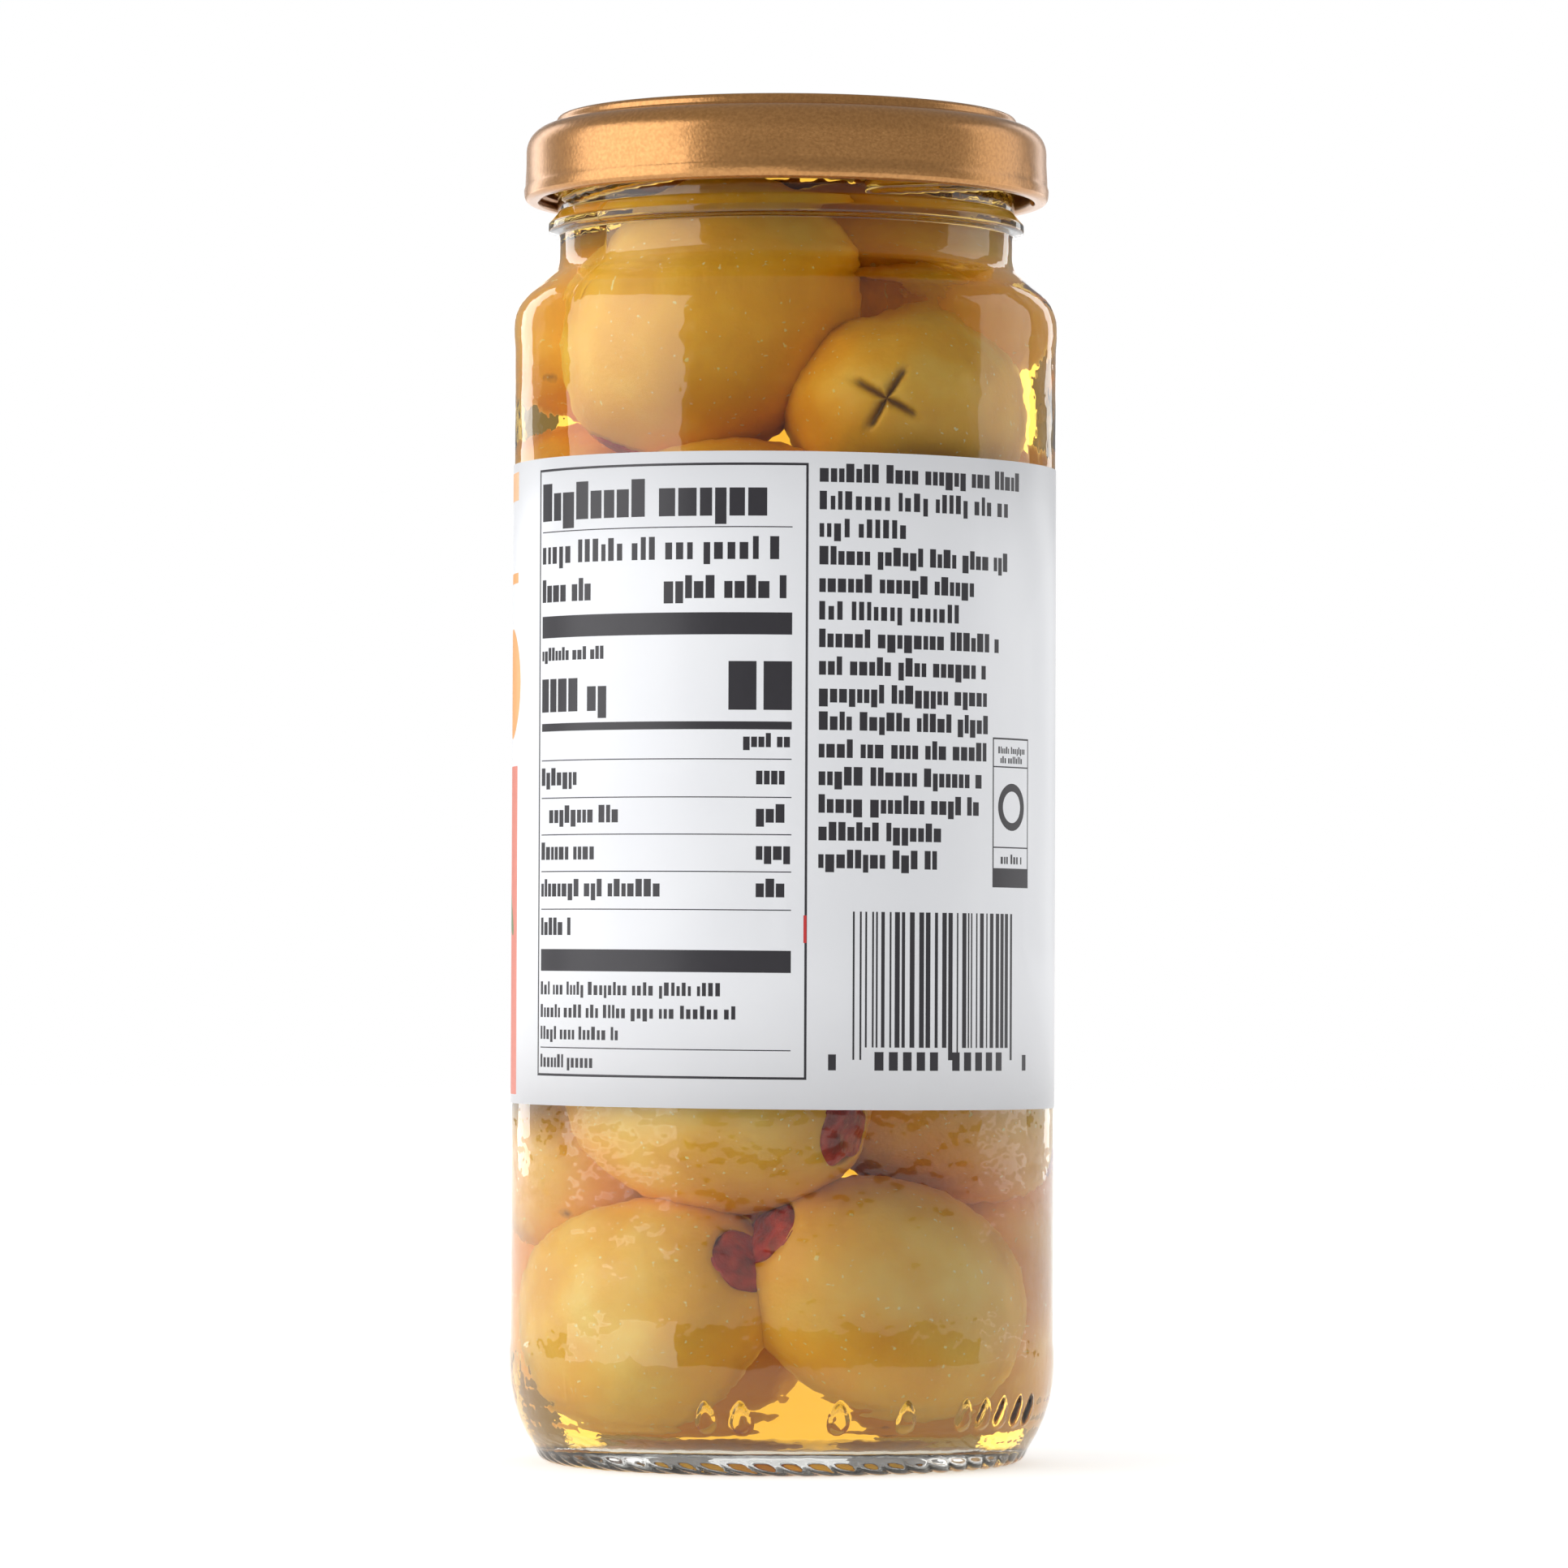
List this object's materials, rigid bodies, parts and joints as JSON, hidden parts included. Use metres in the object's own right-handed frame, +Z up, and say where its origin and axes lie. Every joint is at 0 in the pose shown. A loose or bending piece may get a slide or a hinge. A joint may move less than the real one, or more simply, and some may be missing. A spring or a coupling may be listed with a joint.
{
  "type": "jar of olives",
  "caption": "Tall straight-sided glass jar of pimento-stuffed olives in brine, with a pressed steel twist-off lid and a wrap-around label.",
  "frame": {"origin": "middle of the base, on the plane that the jar stands on", "axes": "+Z up through the lid, -Y towards the label's white panel with the facts table, +X to its right"},
  "size_m": [0.0634, 0.0634, 0.1568],
  "materials": {
    "glass": "polished",
    "lid_lacquer": "satin",
    "brine": "gloss",
    "label": "satin",
    "ink": "satin",
    "olive": "satin",
    "pimento": "satin"
  },
  "bodies": {
    "root": {"jar": "glass", "lid": "lid_lacquer", "brine": "brine", "label": "label"}
  },
  "joints": []
}
